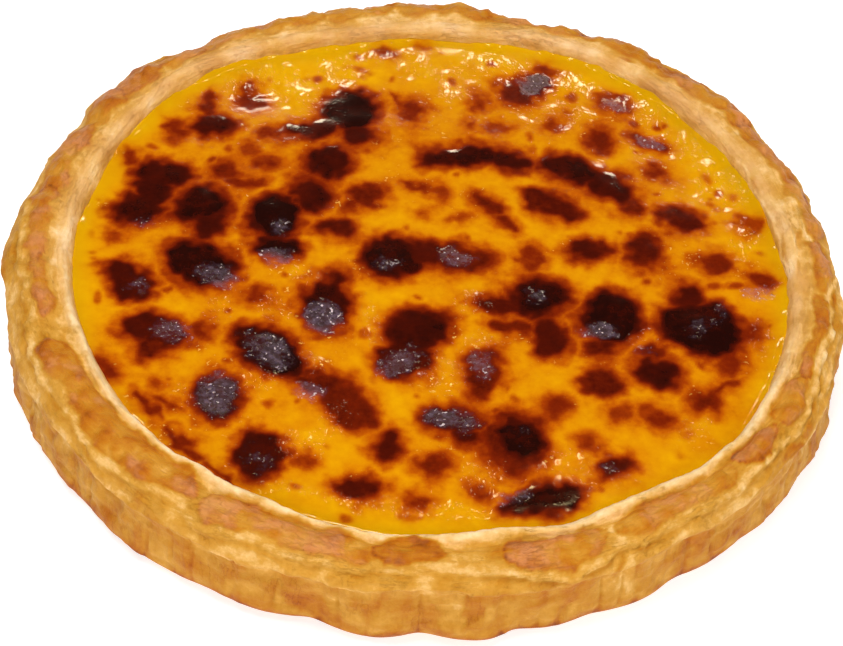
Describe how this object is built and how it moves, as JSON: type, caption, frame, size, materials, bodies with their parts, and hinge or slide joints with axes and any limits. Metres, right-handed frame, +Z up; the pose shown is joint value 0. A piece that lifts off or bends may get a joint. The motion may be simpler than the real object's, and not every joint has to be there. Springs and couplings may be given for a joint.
{
  "type": "portuguese custard tart",
  "caption": "Large round custard tart: a shallow crimped puff pastry case filled to just below its rim with glossy yellow custard, scorched dark in blisters.",
  "frame": {"origin": "middle of the flat underside, at the centre of the tart's outline", "axes": "+Z up through the custard; +X and +Y across the tart, with the side seen first facing -Y; the tart is round, so its turn about +Z is arbitrary"},
  "size_m": [0.2038, 0.2028, 0.0232],
  "materials": {
    "pastry": "satin",
    "custard": "gloss"
  },
  "bodies": {
    "root": {"pastry_case": "pastry", "custard_filling": "custard"}
  },
  "joints": []
}
